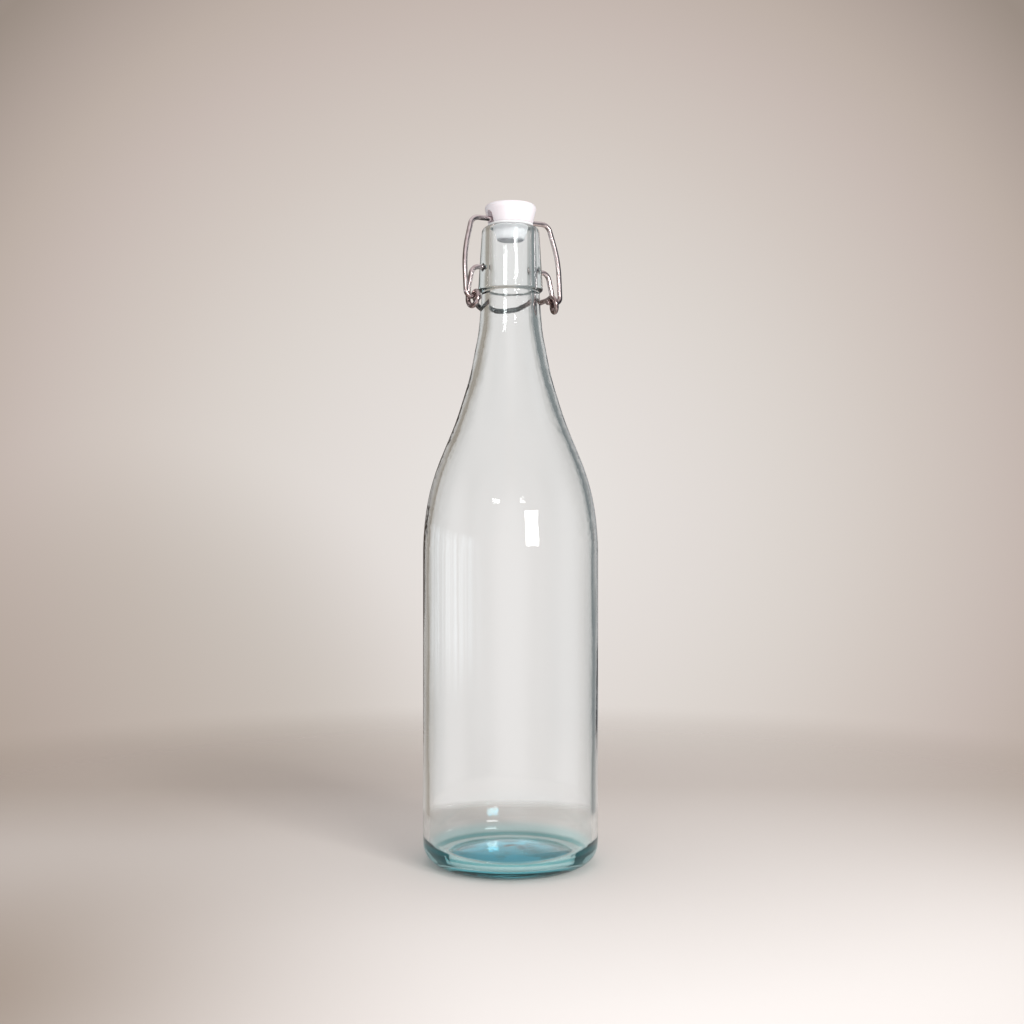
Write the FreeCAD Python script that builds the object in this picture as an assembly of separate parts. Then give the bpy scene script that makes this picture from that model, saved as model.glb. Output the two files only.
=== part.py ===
import FreeCAD, Part
import os
from math import sin, cos, tan, pi, radians, sqrt, hypot, atan2, acos

os.makedirs("parts", exist_ok=True)
V = FreeCAD.Vector

# ---------------------------------------------------------------------------
# Named sizes, millimetres. +Z is up, the bottle stands on z = 0, the X axis
# lies along the closure's pivot and the lever's handle is on the +Y side.
# ---------------------------------------------------------------------------
BODY_D = 84.0           # outside diameter of the straight body
LIP_Z = 304.9           # height of the mouth's rim
SHOULDER_Z = 148.0      # where the straight body ends
WALL = 2.7              # glass of the body
BASE_T = 4.6            # glass over the pushed-up base
HEEL_R = 10.0           # rounding of the heel
PUSH_UP = 4.5           # rise of the base's underside at the middle
FOOT_FLAT = 1.6         # width of the ring it stands on
BORE_D = 20.0           # hole in the mouth
BORE_L = 12.0           # straight part of the bore
LIP_WALL = 3.65         # glass round the mouth
LIP_ROUND = 0.9         # flat left on the rim between its two roundings
FINISH_H = 30.9         # rim to the lower edge of the thick finish
FINISH_FLARE = 1.95     # the finish grows by this towards its lower edge
NECK_WALL = 3.9         # glass of the neck just under the finish
NECK_SPREAD = 0.9       # the neck widens by this down to the shoulder
NECK_H = 13.0           # finish to the top of the shoulder
PIVOT_DROP = 20.3       # rim to the pits that hold the lever
PIT_DEPTH = 2.7
PIT_END = 0.15          # the lever's end stops this short of the pit's floor
WIRE_D = 2.4            # both wires
EYE_PLAY = 1.05         # room for the hook inside the coiled eye
EYE_OUT = 6.0           # middle of the eye from the finish's lower edge
EYE_STEP = 0.12         # gap between the eye's two turns
LEVER_DROP = 15.9       # pits down to the eye's centre
OVER_CENTRE = 3.7       # the eye stands this far in front of the pits
HANDLE_TILT = 17.5      # the handle slopes down towards the back, degrees
LOOP_GAP = 0.15         # handle's loop to the neck
FLANGE_LAP = 0.9        # gasket's flange over the rim
FLANGE_T = 1.2
PLUG_L = 7.4            # gasket's plug under the rim
PLUG_GAP = 0.95         # plug to the bore, at the rim
PLUG_TIP = 3.8          # plug to the bore, at its tip
STEM_D = 6.8            # stopper's stem inside the gasket
STEM_SHARE = 0.6        # share of the plug that the stem reaches
HEAD_IN = 0.2           # head's foot inside the flange's edge
HEAD_FLARE = 2.2        # the head grows by this towards its top
HEAD_H = 9.7
BAR_RISE = 0.5          # head's underside to the wire through it
RUN = 0.08              # running clearance of a wire in its hole
SEAT = 0.30             # gasket over the rim
TOUCH = 0.10            # hook to eye

WR = WIRE_D / 2.0
body_r = BODY_D / 2.0
bore_r = BORE_D / 2.0
lip_r = bore_r + LIP_WALL
skirt_r = lip_r + FINISH_FLARE
neck_r = bore_r + NECK_WALL
skirt_z = LIP_Z - FINISH_H
pivot_z = LIP_Z - PIVOT_DROP
seat_z = LIP_Z + SEAT                       # underside of the gasket's flange
head_z = seat_z + FLANGE_T                  # underside of the stopper's head
bar_z = head_z + BAR_RISE + WR              # the bail's bar through the head


# ---------------------------------------------------------------------------
# Helpers
# ---------------------------------------------------------------------------
def unit(v):
    return V(v).normalize()


def rounded_path(points, radii):
    """Lines joined by tangent arcs; one radius per inner corner."""
    edges, last = [], V(points[0])
    for i in range(1, len(points) - 1):
        a, b, c = V(points[i - 1]), V(points[i]), V(points[i + 1])
        u, w = unit(a - b), unit(c - b)
        half = u.getAngle(w) / 2.0
        reach = radii[i - 1] / tan(half)
        p, q = b + u * reach, b + w * reach
        centre = b + unit(u + w) * (radii[i - 1] / sin(half))
        mid = centre + unit(b - centre) * radii[i - 1]
        if (p - last).Length > 1e-6:
            edges.append(Part.LineSegment(last, p).toShape())
        edges.append(Part.Arc(p, mid, q).toShape())
        last = q
    if (V(points[-1]) - last).Length > 1e-6:
        edges.append(Part.LineSegment(last, V(points[-1])).toShape())
    return edges


def spline(points, t0, t1):
    curve = Part.BSplineCurve()
    curve.interpolate(Points=[V(p) for p in points],
                      InitialTangent=V(t0), FinalTangent=V(t1))
    return curve.toShape()


def corner_arc(a, b, c, reach):
    """Arc leaving a - b and joining b - c, both tangent, reach from b."""
    u, w = unit(a - b), unit(c - b)
    half = u.getAngle(w) / 2.0
    radius = reach * tan(half)
    centre = b + unit(u + w) * (radius / sin(half))
    return Part.Arc(b + u * reach, centre + unit(b - centre) * radius,
                    b + w * reach).toShape()


def arc_chain(points, tangents):
    """Smooth space curve made of pairs of tangent arcs."""
    edges = []
    for i in range(len(points) - 1):
        p, q = V(points[i]), V(points[i + 1])
        s, t = unit(tangents[i]), unit(tangents[i + 1])
        v, st = q - p, s + t
        k = 1.0 - s.dot(t)
        b = v.dot(st)
        d = (-b + sqrt(b * b + 2.0 * k * v.dot(v))) / (2.0 * k)
        m, n = p + s * d, q - t * d
        joint = (m + n) * 0.5
        edges += [corner_arc(p, m, joint, d), corner_arc(joint, n, q, d)]
    return edges


def profile(points, radii):
    """Closed outline in the r-z plane with rounded corners."""
    return rounded_path([V(r, 0, z) for r, z in points], radii)


def revolve(edges):
    wire = Part.Wire(Part.__sortEdges__(edges))
    solid = Part.Face(wire).revolve(V(0, 0, 0), V(0, 0, 1), 360)
    return Part.Solid(solid.Shells[0]) if not solid.Solids else solid.Solids[0]


def sweep(edges, radius):
    """Round wire along a path."""
    path = Part.Wire(edges)
    first = edges[0]
    start = first.valueAt(first.FirstParameter)
    along = first.tangentAt(first.FirstParameter)
    ring = Part.Wire(Part.makeCircle(radius, start, along))
    pipe = path.makePipeShell([ring], True, True)
    return pipe if pipe.ShapeType == "Solid" else Part.Solid(pipe)


def mirrored(edge):
    return edge.mirror(V(0, 0, 0), V(1, 0, 0))


def write(name, shape):
    shape = shape.Solids[0] if shape.Solids else shape
    assert shape.isValid(), name
    shape.exportStep("parts/%s.step" % name)
    print("%-10s volume %10.1f mm3" % (name, shape.Volume))
    return shape


# ---------------------------------------------------------------------------
# Bottle
# ---------------------------------------------------------------------------
# Shoulder stations: share of the height from the straight body to the neck's
# foot, and share of the radius lost on the way.
neck_foot_z = skirt_z - NECK_H
neck_foot_r = neck_r + NECK_SPREAD
SHOULDER = [(0.0, 0.0), (0.107, 0.020), (0.195, 0.065), (0.285, 0.145),
            (0.374, 0.264), (0.463, 0.414), (0.552, 0.564), (0.662, 0.714),
            (0.768, 0.838), (0.877, 0.928), (1.0, 1.0)]


def shoulder(offset0, offset1):
    """Stations of the shoulder, moved inwards by a changing wall."""
    out = []
    for t, s in SHOULDER:
        z = SHOULDER_Z + t * (neck_foot_z - SHOULDER_Z)
        r = body_r - s * (body_r - neck_foot_r)
        out.append((r - offset0 - (offset1 - offset0) * t, z))
    return out


def make_bottle():
    up, down = V(0, 0, 1), V(0, 0, -1)
    foot_r = body_r - HEEL_R                     # outer edge of the foot ring
    edges = []

    # underside: dome of the push-up, then the standing ring and the heel
    ring_in = foot_r - 4.5
    fall = PUSH_UP - 1.1
    dome_r = (ring_in ** 2 + fall ** 2) / (2 * fall)
    mid_r = ring_in * 0.52
    dome = Part.Arc(V(0, 0, PUSH_UP),
                    V(mid_r, 0, PUSH_UP - dome_r + sqrt(dome_r ** 2 - mid_r ** 2)),
                    V(ring_in, 0, 1.1))
    edges.append(dome.toShape())
    slope = -ring_in / sqrt(dome_r ** 2 - ring_in ** 2)
    edges.append(spline([(ring_in, 0, 1.1), (foot_r - FOOT_FLAT, 0, 0)],
                        (1, 0, slope), (1, 0, 0)))
    edges.append(Part.LineSegment(V(foot_r - FOOT_FLAT, 0, 0),
                                  V(foot_r, 0, 0)).toShape())
    c = V(foot_r, 0, HEEL_R)
    edges.append(Part.Arc(V(foot_r, 0, 0),
                          c + V(sin(pi / 4), 0, -cos(pi / 4)) * HEEL_R,
                          V(body_r, 0, HEEL_R)).toShape())
    # straight body and shoulder
    edges.append(Part.LineSegment(V(body_r, 0, HEEL_R),
                                  V(body_r, 0, SHOULDER_Z)).toShape())
    out = shoulder(0, 0)
    lean = (neck_r - neck_foot_r) / (skirt_z - neck_foot_z)
    edges.append(spline([(r, 0, z) for r, z in out], (0, 0, 1), (lean, 0, 1)))
    # neck, thick finish and rim
    edges += profile([(neck_foot_r, neck_foot_z), (neck_r, skirt_z),
                      (skirt_r, skirt_z), (lip_r, LIP_Z), (bore_r, LIP_Z),
                      (bore_r, LIP_Z - BORE_L)],
                     [1.0, 1.0, LIP_WALL - LIP_ROUND, 0.5])
    # inside: bore, neck, shoulder, body, rounded bottom
    neck_wall = neck_foot_r - bore_r - 1.0
    inner = shoulder(WALL, neck_wall)
    low_r, low_z = inner[-1]
    bore_z = LIP_Z - BORE_L
    edges.append(spline([(bore_r, 0, bore_z),
                         (bore_r + 0.10, 0, (bore_z * 2 + low_z) / 3),
                         (bore_r + 0.42, 0, (bore_z + low_z * 2) / 3),
                         (low_r, 0, low_z)],
                        (0, 0, -1), (0.075, 0, -1)))
    edges.append(spline([(r, 0, z) for r, z in reversed(inner)],
                        (0.075, 0, -1), (0, 0, -1)))
    in_r = body_r - WALL
    floor_r = 8.4
    floor_z = BASE_T + 0.1
    floor_mid = PUSH_UP + BASE_T - 0.8
    edges.append(Part.LineSegment(V(in_r, 0, SHOULDER_Z),
                                  V(in_r, 0, floor_z + floor_r)).toShape())
    c = V(in_r - floor_r, 0, floor_z + floor_r)
    edges.append(Part.Arc(V(in_r, 0, floor_z + floor_r),
                          c + V(sin(pi / 4), 0, -cos(pi / 4)) * floor_r,
                          V(in_r - floor_r, 0, floor_z)).toShape())
    edges.append(spline([(in_r - floor_r, 0, floor_z),
                         ((in_r - floor_r) * 0.5, 0,
                          (floor_mid * 3 + floor_z) / 4),
                         (0, 0, floor_mid)], (-1, 0, 0.12), (-1, 0, 0)))
    edges.append(Part.LineSegment(V(0, 0, floor_mid),
                                  V(0, 0, PUSH_UP)).toShape())
    glass = revolve(edges)

    # pits for the lever's ends, slightly flared at the mouth
    slope = (skirt_r - lip_r) / FINISH_H
    face_r = lip_r + slope * PIVOT_DROP
    pit_floor = face_r - PIT_DEPTH
    for side in (1, -1):
        pit = Part.makeCylinder(WR + RUN, PIT_DEPTH + 4.0,
                                V(side * pit_floor, 0, pivot_z),
                                V(side, 0, 0))
        flare = Part.makeCone(WR + RUN, WR + RUN + 2.0, 2.0,
                              V(side * (face_r - 0.7), 0, pivot_z),
                              V(side, 0, 0))
        glass = glass.cut(pit.fuse(flare))
    return glass, pit_floor


# ---------------------------------------------------------------------------
# Closure geometry shared by lever and bail
# ---------------------------------------------------------------------------
eye_r = WIRE_D + EYE_PLAY                    # centreline of the coiled eye
eye_x = skirt_r + EYE_OUT
eye_y = -OVER_CENTRE
eye_z = pivot_z - LEVER_DROP
pull = hypot(-eye_y, bar_z - eye_z)
pull_y, pull_z = -eye_y / pull, (bar_z - eye_z) / pull
ecc = EYE_PLAY - TOUCH                       # the hook is pulled to the eye's top
hook_y, hook_z = eye_y + pull_y * ecc, eye_z + pull_z * ecc
side_step = WIRE_D + EYE_STEP                # the two turns of the eye
coil_out, coil_in = eye_x + side_step / 2.0, eye_x - side_step / 2.0


def make_lever(pit_floor):
    tilt = radians(HANDLE_TILT)
    along = V(0, cos(tilt), -sin(tilt))          # the handle's plane, backwards
    turn = 1.5 * pi + tilt                       # how far the eye is wound

    # end in the pit, out to the side, down to the eye
    start = V(pit_floor + PIT_END, 0, pivot_z)
    corner = V(eye_x - 1.2, 0, pivot_z)
    knee = V(coil_out, eye_y + eye_r, eye_z + 0.30 * LEVER_DROP)
    eye_start = V(coil_out, eye_y + eye_r, eye_z)
    half = rounded_path([start, corner, knee, eye_start], [4.2, 10.0])
    # the eye: down the back, round the front, over the top, stepping inwards
    pts, dirs = [], []
    for i in range(9):
        t = i / 8.0
        a = turn * t
        x = coil_out - side_step * t * t * (3 - 2 * t)
        pts.append(V(x, eye_y + eye_r * cos(a), eye_z - eye_r * sin(a)))
        dirs.append(V(-side_step * 6 * t * (1 - t), -turn * eye_r * sin(a),
                      -turn * eye_r * cos(a)))
    half += arc_chain(pts, dirs)
    # the handle: back and inwards to a loop lying round the neck
    exit_pt = pts[-1]
    v_exit = exit_pt.y / cos(tilt)               # distance along from the axis
    origin = exit_pt - along * v_exit - V(exit_pt.x, 0, 0)
    neck_at = neck_r + (neck_foot_r - neck_r) * (skirt_z - origin.z
              + 1.2 * neck_r * tan(tilt)) / (skirt_z - neck_foot_z)
    loop_r = (neck_at + WR + LOOP_GAP) / cos(tilt)
    k_v = v_exit + 1.9
    k = hypot(coil_in, k_v)
    a_t = atan2(k_v, coil_in) + acos(loop_r / k)
    def at(x, v):
        return origin + along * v + V(x, 0, 0)
    tangent_pt = at(loop_r * cos(a_t), loop_r * sin(a_t))
    half += rounded_path([exit_pt, at(coil_in, k_v), tangent_pt], [4.0])
    a_m = (a_t + pi / 2) / 2
    half.append(Part.Arc(tangent_pt, at(loop_r * cos(a_m), loop_r * sin(a_m)),
                         at(0, loop_r)).toShape())
    left = [mirrored(e) for e in half]
    solids = []
    for side in (half, left):
        solids.append(sweep(side, WR))
    lever = solids[0].fuse(solids[1]).removeSplitter()
    ends = [e for f in lever.Faces if f.Surface.TypeId == "Part::GeomPlane"
            for e in f.Edges]
    return lever.makeFillet(0.35, ends)


def make_bail():
    reach = hypot(hook_y, bar_z - hook_z)
    down = V(0, hook_y / reach, (hook_z - bar_z) / reach)
    bar = V(0, 0, bar_z)
    arm_x = coil_out + WR + 0.2 + WR             # arms just outside the eyes
    def at(x, w):
        return bar + down * w + V(x, 0, 0)
    half = rounded_path([at(0, 0), at(arm_x - 4.8, 0),
                         at(arm_x + 0.1, 0.46 * reach), at(arm_x, reach),
                         at(coil_in - WR - 1.2, reach)], [4.4, 60.0, 2.9])
    solids = [sweep(half, WR), sweep([mirrored(e) for e in half], WR)]
    bail = solids[0].fuse(solids[1]).removeSplitter()
    ends = [e for f in bail.Faces if f.Surface.TypeId == "Part::GeomPlane"
            for e in f.Edges]
    return bail.makeFillet(0.35, ends)


# ---------------------------------------------------------------------------
# Stopper head and gasket
# ---------------------------------------------------------------------------
flange_r = bore_r + FLANGE_LAP
low_r = flange_r - HEAD_IN                   # the head's foot
wide_r = low_r + HEAD_FLARE                  # the head's top
stem_r = STEM_D / 2.0
stem_z = LIP_Z + SEAT - STEM_SHARE * PLUG_L


def head_outline():
    top_z = head_z + HEAD_H
    edges = rounded_path([V(0, 0, top_z), V(wide_r, 0, top_z - 0.35),
                          V(low_r, 0, head_z), V(stem_r, 0, head_z),
                          V(stem_r, 0, stem_z), V(0, 0, stem_z)],
                         [2.2, 0.6, 0.3, 0.8])
    edges.append(Part.LineSegment(V(0, 0, stem_z), V(0, 0, top_z)).toShape())
    return edges


def make_stopper():
    head = revolve(head_outline())
    half_w = 2.1 * WR                            # arched notches for the wire
    arch_z = bar_z + 1.6
    depth_x = low_r - 2.4
    for side in (1, -1):
        box = Part.makeBox(2 * wide_r, 2 * half_w, arch_z - head_z + 1.0,
                           V(depth_x if side > 0 else -depth_x - 2 * wide_r,
                             -half_w, head_z - 1.0))
        arch = Part.makeCylinder(half_w, 2 * wide_r,
                                 V(side * depth_x, 0, arch_z), V(side, 0, 0))
        head = head.cut(box.fuse(arch))
    head = head.cut(Part.makeCylinder(WR + RUN, 2 * wide_r + 4,
                                      V(-wide_r - 2, 0, bar_z), V(1, 0, 0)))
    return head


def make_gasket():
    tip_z = LIP_Z - PLUG_L
    top_r, tip_r = bore_r - PLUG_GAP, bore_r - PLUG_TIP
    gasket = revolve(
        rounded_path([V(stem_r, 0, head_z), V(flange_r, 0, head_z),
                      V(flange_r, 0, seat_z), V(top_r, 0, seat_z),
                      V(tip_r, 0, tip_z), V(0, 0, tip_z)],
                     [0.5, 0.45, 0.5, 1.1])
        + [Part.LineSegment(V(0, 0, tip_z), V(0, 0, stem_z)).toShape()]
        + rounded_path([V(0, 0, stem_z), V(stem_r, 0, stem_z),
                        V(stem_r, 0, head_z)], [0.8]))
    return gasket


glass, pit_floor = make_bottle()
write("bottle", glass)
write("lever", make_lever(pit_floor))
write("bail", make_bail())
write("stopper", make_stopper())
write("gasket", make_gasket())
print("pivot z %.3f  hook y %.3f z %.3f  bar z %.3f" % (pivot_z, hook_y, hook_z, bar_z))
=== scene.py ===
import math

import bmesh
import bpy
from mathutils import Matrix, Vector

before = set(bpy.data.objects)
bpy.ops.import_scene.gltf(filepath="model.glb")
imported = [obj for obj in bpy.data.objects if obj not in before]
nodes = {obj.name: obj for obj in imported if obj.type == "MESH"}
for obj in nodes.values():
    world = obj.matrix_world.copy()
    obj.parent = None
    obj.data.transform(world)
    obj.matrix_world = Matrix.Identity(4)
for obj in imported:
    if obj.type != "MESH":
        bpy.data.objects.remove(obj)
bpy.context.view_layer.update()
scene = bpy.context.scene


# ---------------------------------------------------------------------------
# Shader maths
# ---------------------------------------------------------------------------
class Val:
    """A socket that takes part in Python arithmetic."""

    def __init__(self, kit, socket):
        self.kit = kit
        self.socket = socket

    def do(self, operation, *terms):
        return self.kit.add("ShaderNodeMath", {"operation": operation},
                            dict(enumerate(terms)))

    def __add__(self, other):
        return self.do("ADD", self, other)

    def __radd__(self, other):
        return self.do("ADD", other, self)

    def __sub__(self, other):
        return self.do("SUBTRACT", self, other)

    def __rsub__(self, other):
        return self.do("SUBTRACT", other, self)

    def __mul__(self, other):
        return self.do("MULTIPLY", self, other)

    def __truediv__(self, other):
        return self.do("DIVIDE", self, other)

    def __pow__(self, other):
        return self.do("POWER", self, other)

    def __abs__(self):
        return self.do("ABSOLUTE", self)

    def at_most(self, other):
        return self.do("MINIMUM", self, other)

    def at_least(self, other):
        return self.do("MAXIMUM", self, other)

    def rise(self, start, end):
        """0 below start, 1 above end, eased between."""
        return self.kit.add("ShaderNodeMapRange",
                            {"interpolation_type": "SMOOTHSTEP"},
                            {"Value": self, "From Min": start, "From Max": end})

    def fade(self, start, end):
        """1 below start, 0 above end, eased between."""
        return 1.0 - self.rise(start, end)


class Kit:
    """Builds one node tree: a finish's or the room's."""

    def __init__(self, owner, out_kind="ShaderNodeOutputMaterial"):
        self.owner = owner
        owner.use_nodes = True
        self.tree = owner.node_tree
        self.tree.nodes.clear()
        self.out = self.tree.nodes.new(out_kind)

    def add(self, kind, settings=None, sockets=None, out=0):
        """One node, its settings first and then its sockets."""
        node = self.tree.nodes.new(kind)
        for key, value in (settings or {}).items():
            if key == "stops":
                self.set_stops(node.color_ramp, value)
            else:
                setattr(node, key, value)
        for key, value in (sockets or {}).items():
            socket = node.inputs[key]
            if isinstance(value, Val):
                self.tree.links.new(value.socket, socket)
            elif socket.type == "RGBA":
                socket.default_value = tuple(value) + (1.0,)
            else:
                socket.default_value = value
        return Val(self, node.outputs[out])

    def set_stops(self, ramp, stops):
        while len(ramp.elements) < len(stops):
            ramp.elements.new(0.5)
        for element, (at, colour) in zip(ramp.elements, stops):
            element.position = at
            element.color = tuple(colour) + (1.0,)

    def place(self):
        """The point on the object in metres, whole and as x, y and z."""
        where = self.add("ShaderNodeTexCoord", out="Object")
        axes = [self.add("ShaderNodeSeparateXYZ", None, {0: where}, axis)
                for axis in range(3)]
        return where, axes

    def noise(self, where, scale, detail=2.0, rough=0.5, stretch=None):
        if stretch:
            where = self.add("ShaderNodeMapping", None,
                             {"Vector": where, "Scale": stretch})
        return self.add("ShaderNodeTexNoise", None,
                        {"Vector": where, "Scale": scale, "Detail": detail,
                         "Roughness": rough})

    def ramp(self, stops, factor):
        return self.add("ShaderNodeValToRGB", {"stops": stops}, {"Fac": factor})

    def blend(self, factor, first, second):
        """The first colour at 0 and the second at 1."""
        return self.add("ShaderNodeMix", {"data_type": "RGBA"},
                        {0: factor, 6: first, 7: second}, 2)

    def bump(self, height, strength, distance):
        return self.add("ShaderNodeBump", None,
                        {"Height": height, "Strength": strength,
                         "Distance": distance})

    def ray(self, sort):
        return self.add("ShaderNodeLightPath", out=sort)

    def principled(self, **sockets):
        return self.add("ShaderNodeBsdfPrincipled", None,
                        {key.replace("_", " "): value
                         for key, value in sockets.items()})

    def output(self, shader, socket="Surface"):
        self.tree.links.new(shader.socket, self.out.inputs[socket])


def new_finish(name):
    return Kit(bpy.data.materials.new(name))


# ---------------------------------------------------------------------------
# Finishes: lengths are metres on the object, from its foot and its axis
# ---------------------------------------------------------------------------
BLACK = (0.0, 0.0, 0.0)
CLOUD_TURN = (0.3, 0.7)             # where a soft cloud pattern turns over

BASE_TOP = (0.0095, 0.0125)         # height at which the thick base ends
DISC_EDGE = (0.0290, 0.0320)        # reach at which the pushed-up disc ends
RING_START = (0.0290, 0.0330)       # reach at which the foot ring begins
RING_TOP = (0.0050, 0.0080)
HEEL_SIDE = (0.0394, 0.0400)        # reach that only the heel's outside has
HEEL_TOP = (0.0050, 0.0110)
FOOT_SIDE = (0.0362, 0.0380)        # the low curve of the heel, near the floor
FOOT_TOP = (0.0030, 0.0050)

CLEAR_GLASS = (0.996, 1.0, 1.0)
DISC_BLUE = (0.10, 0.74, 0.96)
# painted shade: the dull teal that darkens the disc
DISC_SHADE_TEAL = (0.13, 0.40, 0.44)
RING_AQUA = (0.74, 0.92, 0.93)
HEEL_AQUA = (0.66, 0.91, 0.93)
FOOT_TEAL_AND_SHADE = (0.10, 0.44, 0.48)
GLOW_TEAL = (0.0, 0.86, 0.96)
THICK_AQUA = (0.20, 0.705, 0.805)   # what the light turns to in thick glass


def bottle_glass():
    """Clear soda glass that turns aqua where it is thick: the heel and base, with
    painted shade in the base and heel and a painted teal glow in the heel.
    """
    k = new_finish("bottle_glass")
    where, (x, y, z) = k.place()
    reach = (x * x + y * y) ** 0.5

    # blown glass is never quite flat: slow upright waves with a finer ripple
    waves = k.noise(where, scale=26.0, stretch=(1.0, 1.0, 0.28))
    ripple = k.noise(where, scale=90.0, stretch=(1.0, 1.0, 0.35))
    height = waves + ripple * 0.12

    # aqua gathers across the base; painted shade darkens it in clouds and towards the
    # disc's edge, for the shaded floor seen through the base
    cloud = k.noise(where, scale=52.0, detail=4.0, rough=0.62)
    disc_shade = cloud.rise(0.48, 0.60) * 0.65 + reach.rise(0.017, 0.029) * 0.35
    pool = k.blend(disc_shade.at_most(1.0), DISC_BLUE, DISC_SHADE_TEAL)
    disc = z.fade(*BASE_TOP) * reach.fade(*DISC_EDGE)
    ring = z.fade(*RING_TOP) * reach.rise(*RING_START)
    heel = z.fade(*HEEL_TOP) * reach.rise(*HEEL_SIDE)
    foot = z.fade(*FOOT_TOP) * reach.rise(*FOOT_SIDE)
    colour = k.blend(disc, CLEAR_GLASS, pool)
    colour = k.blend(ring, colour, RING_AQUA)
    colour = k.blend(heel, colour, HEEL_AQUA)
    # the heel's low curve is dark teal: part glass tint, part painted shade
    colour = k.blend(foot, colour, FOOT_TEAL_AND_SHADE)

    # a painted faint teal glow in the thick heel, standing in for light caught there
    heel_glow = (z.fade(0.0060, 0.0125) * reach.rise(0.0380, 0.0400)
              * (0.15 + z.rise(0.0020, 0.0060) * 0.85))
    k.output(k.principled(
        Base_Color=colour, Roughness=0.0, IOR=1.5, Transmission_Weight=1.0,
        Emission_Color=k.blend(heel_glow, BLACK, GLOW_TEAL),
        Emission_Strength=0.065,
        Normal=k.bump(height, strength=0.35, distance=0.0012)))
    k.output(k.add("ShaderNodeVolumeAbsorption", None,
                   {"Color": THICK_AQUA, "Density": 12.0}), "Volume")
    return k.owner


EYES_HEIGHT = 0.2685                # the lever's two coiled eyes
EYES_SPREAD = 0.0065
BRIGHT_STEEL = (0.74, 0.65, 0.65)
# tarnish, and painted shade round the eyes and at the back
BROWNED_AND_SHADED_STEEL = (0.25, 0.17, 0.16)
LOOP_SHADE_STEEL = (0.13, 0.15, 0.16)


def closure_wire():
    """Drawn steel wire, browned in patches, with painted shade round the eyes, towards
    the back and on the handle's loop.
    """
    k = new_finish("closure_wire")
    where, (x, y, z) = k.place()
    tarnish = k.noise(where, scale=260.0, detail=3.0, rough=0.6)
    drawn = k.noise(where, scale=1500.0, rough=0.6)
    # painted shade: the wire darkens round the eyes and towards the back, along with the
    # tarnish patches
    eye_shade = 1.0 - (abs(z - EYES_HEIGHT) / EYES_SPREAD).at_most(1.0)
    brown_and_shade = (tarnish.rise(0.44, 0.70) * 0.35 + eye_shade.rise(0.0, 0.6) * 0.55
             + y.rise(-0.001, 0.006) * 0.75)
    colour = k.blend(brown_and_shade.at_most(1.0), BRIGHT_STEEL, BROWNED_AND_SHADED_STEEL)
    # painted shade: the handle's loop, behind the neck, is darker and greyer than the
    # rest
    colour = k.blend(y.rise(0.004, 0.012), colour, LOOP_SHADE_STEEL)
    k.output(k.principled(
        Base_Color=colour, Metallic=1.0, Roughness=0.11 + tarnish * 0.12,
        Normal=k.bump(drawn, strength=0.04, distance=0.0001)))
    return k.owner


def stopper_plastic():
    """Off-white moulded plastic with the faintest pink."""
    k = new_finish("stopper_plastic")
    where, axes = k.place()
    cloud = k.noise(where, scale=130.0)
    grain = k.noise(where, scale=1800.0)
    colour = k.blend(cloud.rise(*CLOUD_TURN), (0.84, 0.795, 0.825), (0.88, 0.835, 0.865))
    k.output(k.principled(
        Base_Color=colour, Roughness=0.34 + cloud * 0.08, IOR=1.5,
        Subsurface_Weight=0.15, Subsurface_Radius=(0.8, 0.6, 0.6),
        Subsurface_Scale=0.004,
        Normal=k.bump(grain, strength=0.10, distance=0.0001)))
    return k.owner


PLUG_TIP = (0.2978, 0.2988)         # the plug's underside, painted in shade
PLUG_LIT = (0.2980, 0.2995)         # where the painted glow on the plug starts
PLUG_SHADED = (0.3010, 0.3046)      # and where it fades under the rim
UNDERSIDE_SHADE_GREY = (0.62, 0.62, 0.64)
PLUG_GLOW_WHITE = (1.0, 0.99, 1.0)


def gasket_rubber():
    """Soft white rubber; its plug has a painted glow for the light that the neck
    gathers, and painted shade underneath.
    """
    k = new_finish("gasket_rubber")
    where, (x, y, z) = k.place()
    cloud = k.noise(where, scale=220.0)
    colour = k.blend(cloud.rise(*CLOUD_TURN), (0.90, 0.895, 0.90), (0.95, 0.95, 0.955))
    # painted shade on the plug's underside
    colour = k.blend(z.rise(*PLUG_TIP), UNDERSIDE_SHADE_GREY, colour)
    # a painted glow on the plug, standing in for the light the neck gathers
    plug_glow = z.rise(*PLUG_LIT) * z.fade(*PLUG_SHADED)
    k.output(k.principled(
        Base_Color=colour, Roughness=0.42 + cloud * 0.12, IOR=1.45,
        Subsurface_Weight=0.4, Subsurface_Radius=(0.9, 0.85, 0.85),
        Subsurface_Scale=0.003,
        Emission_Color=k.blend(plug_glow, BLACK, PLUG_GLOW_WHITE), Emission_Strength=0.32,
        Normal=k.bump(cloud, strength=0.15, distance=0.0002)))
    return k.owner


finishes = {"bottle": bottle_glass(), "stopper": stopper_plastic(),
            "gasket": gasket_rubber()}
finishes["lever"] = finishes["bail"] = closure_wire()
for name, finish in finishes.items():
    skin = nodes[name].data
    skin.materials.clear()
    skin.materials.append(finish)
    for face in skin.polygons:
        face.use_smooth = True


# ---------------------------------------------------------------------------
# Stage: a pale floor that melts into the room, lamps and camera
# ---------------------------------------------------------------------------
VIEW_AZIMUTH = math.radians(-28.0)
UP = Vector((0.0, 0.0, 1.0))
back = Vector((math.sin(VIEW_AZIMUTH), -math.cos(VIEW_AZIMUTH), 0.0))
right = Vector((math.cos(VIEW_AZIMUTH), math.sin(VIEW_AZIMUTH), 0.0))

FLOOR_RADIUS = 0.7
FLOOR_GAIN = 1.03                   # lifts the sheet to the room's level
# the sheet's painted shade and light, as levels and as colours
FLOOR_SHADE, FLOOR_LIGHT = 0.40, 0.92
FLOOR_DARK = (0.40, 0.335, 0.285)
FLOOR_PALE = (0.92, 0.885, 0.86)
SEEN_END = (0.19, 0.55)             # reaches between which the floor melts away
BENT_END = (0.115, 0.145)           # and the same as it shows through the glass


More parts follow.
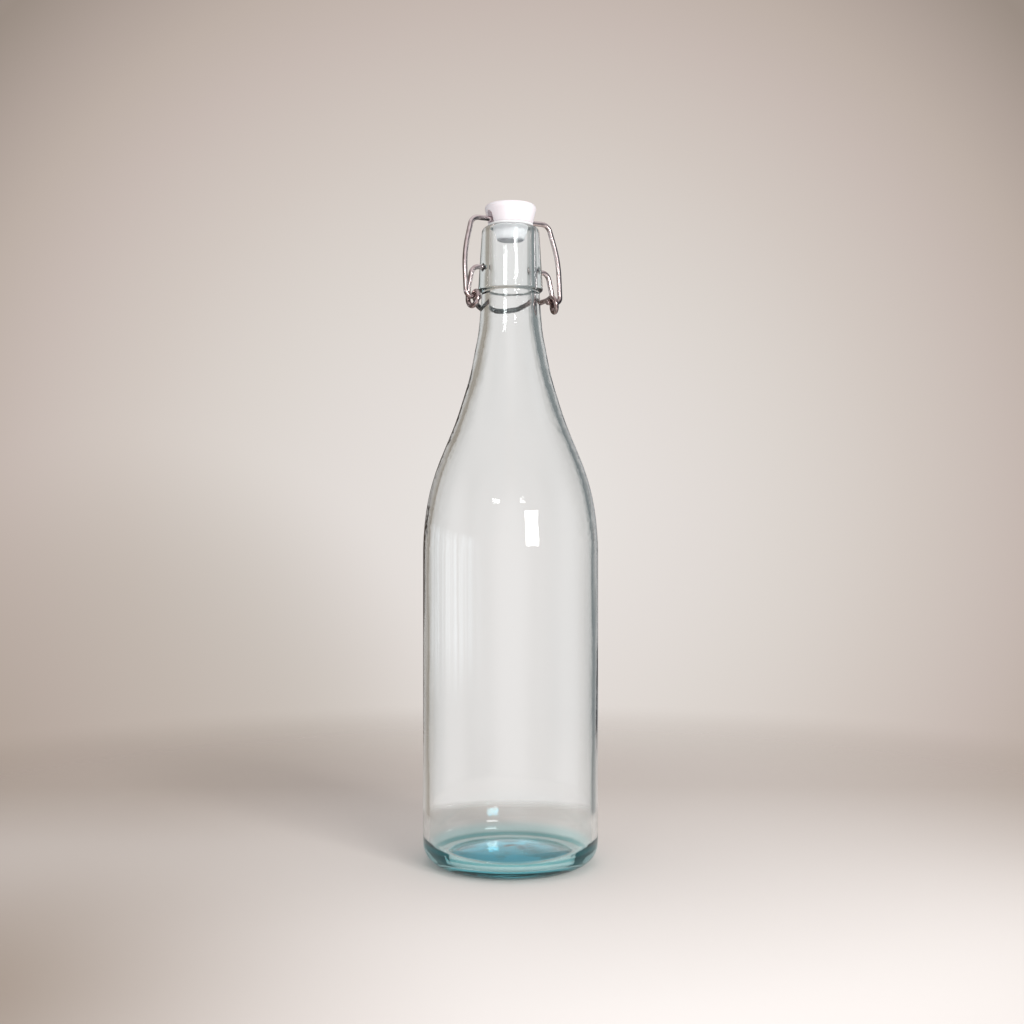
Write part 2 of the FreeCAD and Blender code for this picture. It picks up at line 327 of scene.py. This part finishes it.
def stage_paint():
    """A warm white sheet with painted light and shade, palest towards the light, that
    melts into the room.
    """
    k = new_finish("stage_paint")
    where, (x, y, z) = k.place()
    reach = (x * x + y * y) ** 0.5
    side = x * right.x + y * right.y
    front = x * back.x + y * back.y
    # painted light and shade: palest towards the light on the right front, darker to the
    # left, far right and near left
    left_shade = ((0.0 - side).rise(0.0, 0.22)
                 * (0.14 + front.rise(-0.05, 0.20) * 0.34))
    right_shade = side.rise(0.10, 0.34) * front.fade(-0.05, 0.15) * 0.10
    near_shade = front.rise(0.10, 0.24) * (0.06 - side).rise(0.0, 0.12) * 0.07
    light = ((0.74 + front * 0.78).at_least(0.60).at_most(0.92)
             - left_shade - right_shade - near_shade)
    span = k.add("ShaderNodeMapRange", None,
                 {"Value": light, "From Min": FLOOR_SHADE, "From Max": FLOOR_LIGHT})
    colour = k.blend(span, [c * FLOOR_GAIN for c in FLOOR_DARK],
                     [c * FLOOR_GAIN for c in FLOOR_PALE])

    # below the foot, a painted glow, seen only through the glass, stands in for the
    # light that the glass lets through
    through = k.ray("Is Transmission Ray")
    glow_under_foot = through * reach.fade(0.034, 0.048)
    paint = k.principled(Base_Color=colour, Roughness=0.9, Specular_IOR_Level=0.1,
                         Emission_Color=k.blend(glow_under_foot, BLACK, colour),
                         Emission_Strength=0.30)
    start = SEEN_END[0] + through * (BENT_END[0] - SEEN_END[0])
    end = SEEN_END[1] + through * (BENT_END[1] - SEEN_END[1])
    melt = ((reach - start) / (end - start)).rise(0.0, 1.0)
    clear = k.add("ShaderNodeBsdfTransparent")
    k.output(k.add("ShaderNodeMixShader", None, {0: melt, 1: paint, 2: clear}))
    return k.owner


def lay_floor():
    bm = bmesh.new()
    bmesh.ops.create_circle(bm, cap_ends=True, radius=FLOOR_RADIUS, segments=96)
    mesh = bpy.data.meshes.new("floor")
    bm.to_mesh(mesh)
    bm.free()
    floor = bpy.data.objects.new("floor", mesh)
    scene.collection.objects.link(floor)
    mesh.materials.append(stage_paint())


# how bright the room is, by how near a direction lies to one of its four walls
ROOM = [(0.60, (0.46, 0.42, 0.39)), (0.80, (0.37, 0.325, 0.29)),
        (0.887, (0.325, 0.27, 0.232)), (0.906, (0.43, 0.36, 0.32)),
        (0.922, (0.51, 0.434, 0.386)), (0.9385, (0.571, 0.491, 0.45)),
        (0.961, (0.645, 0.578, 0.533)), (0.982, (0.723, 0.672, 0.631)),
        (0.9952, (0.776, 0.730, 0.701)), (1.0, (0.807, 0.776, 0.745))]
# the same room as clear glass bends it
BENT_ROOM = [(0.60, (0.42, 0.37, 0.32)), (0.80, (0.36, 0.31, 0.26)),
             (0.887, (0.56, 0.51, 0.47)), (0.92, (0.68, 0.63, 0.60)),
             (0.96, (0.80, 0.75, 0.73)), (1.0, (0.86, 0.81, 0.79))]
SHADOW_BROWN = (0.30, 0.235, 0.18)
DUSK_BLUE = (0.14, 0.20, 0.23)
GLOOM_LEFT = (0.12, 0.095, 0.08)
GLOOM_RIGHT = (0.075, 0.085, 0.10)
BRIGHT_WALL = (0.90, 0.86, 0.865)
CURTAIN_WHITE = (2.9, 3.3, 3.6)
DOME = (0.76, 0.745, 0.75)


def light_room():
    """Four pale walls with painted shade that falls off softly towards the corners,
    as they are seen, mirrored and bent, and an even dome that lights what isn't glossy."""
    scene.world = bpy.data.worlds.new("room")
    k = Kit(scene.world, "ShaderNodeOutputWorld")
    direction = k.add("ShaderNodeTexCoord", out="Generated")

    def towards(vector):
        return k.add("ShaderNodeVectorMath", {"operation": "DOT_PRODUCT"},
                     {0: direction, 1: tuple(vector)}, "Value")

    near = abs(towards(back)).at_least(abs(towards(right)))
    side = towards(right)
    level = towards(UP)

    # as seen: the walls, with a painted soft brown shadow low on the left
    backdrop_shadow = towards((-back - right * 0.27 - UP * 0.17).normalized())
    seen = k.blend(backdrop_shadow.rise(0.974, 1.0) * 0.33, k.ramp(ROOM, near), SHADOW_BROWN)

    # as mirrored: one bright wall and ceiling, gloom elsewhere, and a tall
    # curtained window on the left
    bright = towards(back).rise(0.42, 0.82).at_least(level.rise(0.35, 0.85) * 0.9)
    gloom = k.blend(side.rise(-0.3, 0.3), GLOOM_LEFT, GLOOM_RIGHT)
    folds = k.noise(direction, scale=9.0, stretch=(1.0, 1.0, 0.15))
    curtain = (towards((back * 0.12 - right).normalized()).rise(0.62, 0.93)
               * (abs(level + 0.015) / 0.13).fade(0.55, 1.0)
               * folds.rise(0.25, 0.75))
    mirrored = k.blend(curtain, k.blend(bright, gloom, BRIGHT_WALL), CURTAIN_WHITE)

    # as bent: the walls again, with a blue dusk in the corner on the right
    dusk = near.fade(0.84, 0.97) * side.rise(0.0, 0.25) * 0.60
    bent = k.blend(dusk, k.ramp(BENT_ROOM, near), DUSK_BLUE)

    # a ray that clear glass bends counts as glossy too, so bent comes after
    colour = k.blend(k.ray("Is Glossy Ray"), seen, mirrored)
    colour = k.blend(k.ray("Is Transmission Ray"), colour, bent)
    colour = k.blend(k.ray("Diffuse Depth").at_most(1.0), colour, DOME)
    k.output(k.add("ShaderNodeBackground", None,
                   {"Color": colour, "Strength": 1.0}))


DAYLIGHT = (1.0, 0.985, 0.965)
SLIT_LIGHT = (1.0, 0.99, 0.975)
FILL_LIGHT = (1.0, 0.985, 0.97)
LAMPS_AIM = Vector((0.0, 0.0, 0.16))


def lamp(name, azimuth, distance, height, width, tall, power, colour):
    """An area lamp aimed at the bottle; its azimuth is in degrees, turned from
    the viewer towards the right."""
    light = bpy.data.lights.new(name, "AREA")
    light.energy = power
    light.color = colour
    light.shape = "RECTANGLE"
    light.size = width
    light.size_y = tall
    stand = bpy.data.objects.new(name, light)
    scene.collection.objects.link(stand)
    turn = math.radians(azimuth)
    at = (back * math.cos(turn) + right * math.sin(turn)) * distance + UP * height
    stand.location = at
    stand.rotation_mode = "QUATERNION"
    stand.rotation_quaternion = (LAMPS_AIM - at).to_track_quat("-Z", "Y")
    return stand


lay_floor()
light_room()
lamp("window", 28.0, 1.2, 0.362, 0.34, 0.29, 7.0, DAYLIGHT)
lamp("left_slit", -20.5, 1.3, 0.685, 0.22, 0.031, 0.56, SLIT_LIGHT)
lamp("right_slit", 17.5, 1.3, 0.716, 0.16, 0.016, 0.23, SLIT_LIGHT)
lamp("low_slit", 17.5, 1.3, 0.676, 0.16, 0.009, 0.12, SLIT_LIGHT)
# the fill only lays the bottle's soft shadow to the left
fill = lamp("fill", 40.0, 1.5, 0.95, 0.22, 0.22, 6.0, FILL_LIGHT)
fill.visible_glossy = False
fill.visible_transmission = False

EYE_HEIGHT = 0.168
EYE_DISTANCE = 0.655
EYE_OFFSET = 0.0007
SENSOR_WIDTH = 36.0                 # millimetres, as the lens
LENS = 47.848

camera = bpy.data.cameras.new("camera")
camera.sensor_width = SENSOR_WIDTH
camera.lens = LENS
camera.clip_start = 0.01
camera.clip_end = 60.0
eye = bpy.data.objects.new("camera", camera)
scene.collection.objects.link(eye)
eye.location = back * EYE_DISTANCE + right * EYE_OFFSET + UP * EYE_HEIGHT
eye.rotation_mode = "QUATERNION"
eye.rotation_quaternion = (-back).to_track_quat("-Z", "Y")
scene.camera = eye
scene.view_settings.view_transform = "Standard"
